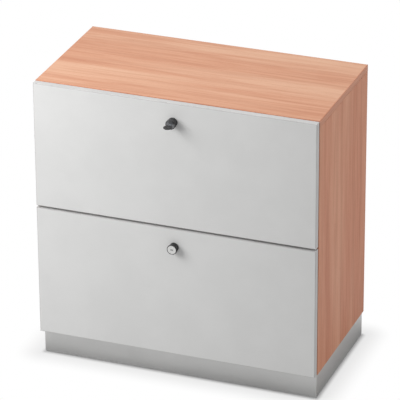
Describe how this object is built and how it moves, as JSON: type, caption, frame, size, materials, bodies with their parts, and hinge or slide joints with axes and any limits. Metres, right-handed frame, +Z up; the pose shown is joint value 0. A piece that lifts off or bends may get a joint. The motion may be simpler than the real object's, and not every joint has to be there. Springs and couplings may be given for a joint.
{
  "type": "lateral filing cabinet",
  "caption": "Wide filing cabinet with beech-look carcass, plain light-grey drawer fronts with lockable knobs, steel hanging-file drawers on ball slides, and a recessed steel plinth.",
  "frame": {"origin": "on the floor, under the middle of the overall box, with the knobs and the key counted in", "axes": "+X to the right seen from the front, +Y to the back, +Z up; the drawers open along -Y"},
  "size_m": [0.8, 0.47, 0.82],
  "materials": {
    "beech_laminate": "satin",
    "beech_edge": "satin",
    "grey_laminate": "satin",
    "grey_edge": "satin",
    "plinth_paint": "satin",
    "drawer_paint": "satin",
    "zinc_steel": "satin",
    "dowel_wood": "matte",
    "bumper_rubber": "matte",
    "knob_plastic": "satin",
    "lock_chrome": "polished",
    "key_steel": "satin"
  },
  "bodies": {
    "carcass": {"back_panel": "beech_laminate", "bottom_panel": "beech_laminate", "carcass_edge_strips": "beech_edge", "carcass_screws": "zinc_steel", "connector_bolts": "zinc_steel", "connector_cams": "zinc_steel", "dowels": "dowel_wood", "left_side_panel": "beech_laminate", "leveller_nuts": "zinc_steel", "lock_strikes": "zinc_steel", "lower_cabinet_slides": "zinc_steel", "middle_rail": "beech_laminate", "plinth_back_rail": "plinth_paint", "plinth_corner_brackets": "plinth_paint", "plinth_front_rail": "plinth_paint", "plinth_left_rail": "plinth_paint", "plinth_right_rail": "plinth_paint", "right_side_panel": "beech_laminate", "slide_screws": "zinc_steel", "top_panel": "beech_laminate", "upper_cabinet_slides": "zinc_steel"},
    "upper_drawer": {"upper_front": "grey_laminate", "upper_front_edge_strips": "grey_edge", "upper_bumpers": "bumper_rubber", "upper_left_wall": "drawer_paint", "upper_right_wall": "drawer_paint", "upper_tray": "drawer_paint", "upper_front_file_rail": "drawer_paint", "upper_rear_file_rail": "drawer_paint", "upper_drawer_slides": "zinc_steel", "upper_drawer_fixings": "zinc_steel", "upper_knob": "knob_plastic", "upper_lock_nut": "zinc_steel"},
    "upper_middle_members": {"upper_middle_slides": "zinc_steel"},
    "upper_outer_cages": {"upper_outer_ball_cages": "zinc_steel"},
    "upper_inner_cages": {"upper_inner_ball_cages": "zinc_steel"},
    "upper_lock": {"upper_lock_plug": "lock_chrome", "upper_lock_cam": "zinc_steel", "upper_key": "key_steel"},
    "lower_drawer": {"lower_front": "grey_laminate", "lower_front_edge_strips": "grey_edge", "lower_bumpers": "bumper_rubber", "lower_left_wall": "drawer_paint", "lower_right_wall": "drawer_paint", "lower_tray": "drawer_paint", "lower_front_file_rail": "drawer_paint", "lower_rear_file_rail": "drawer_paint", "lower_drawer_slides": "zinc_steel", "lower_drawer_fixings": "zinc_steel", "lower_knob": "knob_plastic", "lower_lock_nut": "zinc_steel"},
    "lower_middle_members": {"lower_middle_slides": "zinc_steel"},
    "lower_outer_cages": {"lower_outer_ball_cages": "zinc_steel"},
    "lower_inner_cages": {"lower_inner_ball_cages": "zinc_steel"},
    "lower_lock": {"lower_lock_plug": "lock_chrome", "lower_lock_cam": "zinc_steel"},
    "front_left_leveller": {"front_left_leveller": "zinc_steel"},
    "back_left_leveller": {"back_left_leveller": "zinc_steel"},
    "front_right_leveller": {"front_right_leveller": "zinc_steel"},
    "back_right_leveller": {"back_right_leveller": "zinc_steel"}
  },
  "joints": [
    {"name": "upper_drawer_slide", "type": "slide", "parent": "carcass", "child": "upper_drawer", "axis": [0, -1, 0], "range_m": [0, 0.34]},
    {"name": "upper_middle_members_slide", "type": "slide", "parent": "carcass", "child": "upper_middle_members", "axis": [0, -1, 0], "range_m": [0, 0.17]},
    {"name": "upper_outer_cages_slide", "type": "slide", "parent": "carcass", "child": "upper_outer_cages", "axis": [0, -1, 0], "range_m": [0, 0.085]},
    {"name": "upper_inner_cages_slide", "type": "slide", "parent": "carcass", "child": "upper_inner_cages", "axis": [0, -1, 0], "range_m": [0, 0.255]},
    {"name": "upper_lock_turn", "type": "hinge", "parent": "upper_drawer", "child": "upper_lock", "pos_m": [0, -0.185, 0.766], "axis": [0, -1, 0], "range_deg": [0, 90]},
    {"name": "lower_drawer_slide", "type": "slide", "parent": "carcass", "child": "lower_drawer", "axis": [0, -1, 0], "range_m": [0, 0.34]},
    {"name": "lower_middle_members_slide", "type": "slide", "parent": "carcass", "child": "lower_middle_members", "axis": [0, -1, 0], "range_m": [0, 0.17]},
    {"name": "lower_outer_cages_slide", "type": "slide", "parent": "carcass", "child": "lower_outer_cages", "axis": [0, -1, 0], "range_m": [0, 0.085]},
    {"name": "lower_inner_cages_slide", "type": "slide", "parent": "carcass", "child": "lower_inner_cages", "axis": [0, -1, 0], "range_m": [0, 0.255]},
    {"name": "lower_lock_turn", "type": "hinge", "parent": "lower_drawer", "child": "lower_lock", "pos_m": [0, -0.185, 0.4005], "axis": [0, -1, 0], "range_deg": [0, 90]},
    {"name": "front_left_leveller_turn", "type": "hinge", "parent": "carcass", "child": "front_left_leveller", "pos_m": [-0.344, -0.108, 0.03], "axis": [0, 0, 1], "continuous": true},
    {"name": "back_left_leveller_turn", "type": "hinge", "parent": "carcass", "child": "back_left_leveller", "pos_m": [-0.344, 0.179, 0.03], "axis": [0, 0, 1], "continuous": true},
    {"name": "front_right_leveller_turn", "type": "hinge", "parent": "carcass", "child": "front_right_leveller", "pos_m": [0.344, -0.108, 0.03], "axis": [0, 0, 1], "continuous": true},
    {"name": "back_right_leveller_turn", "type": "hinge", "parent": "carcass", "child": "back_right_leveller", "pos_m": [0.344, 0.179, 0.03], "axis": [0, 0, 1], "continuous": true}
  ],
  "couplings": [
    {"joint": "upper_middle_members_slide", "follows": "upper_drawer_slide", "ratio": 0.5},
    {"joint": "upper_outer_cages_slide", "follows": "upper_drawer_slide", "ratio": 0.25},
    {"joint": "upper_inner_cages_slide", "follows": "upper_drawer_slide", "ratio": 0.75},
    {"joint": "lower_middle_members_slide", "follows": "lower_drawer_slide", "ratio": 0.5},
    {"joint": "lower_outer_cages_slide", "follows": "lower_drawer_slide", "ratio": 0.25},
    {"joint": "lower_inner_cages_slide", "follows": "lower_drawer_slide", "ratio": 0.75}
  ]
}
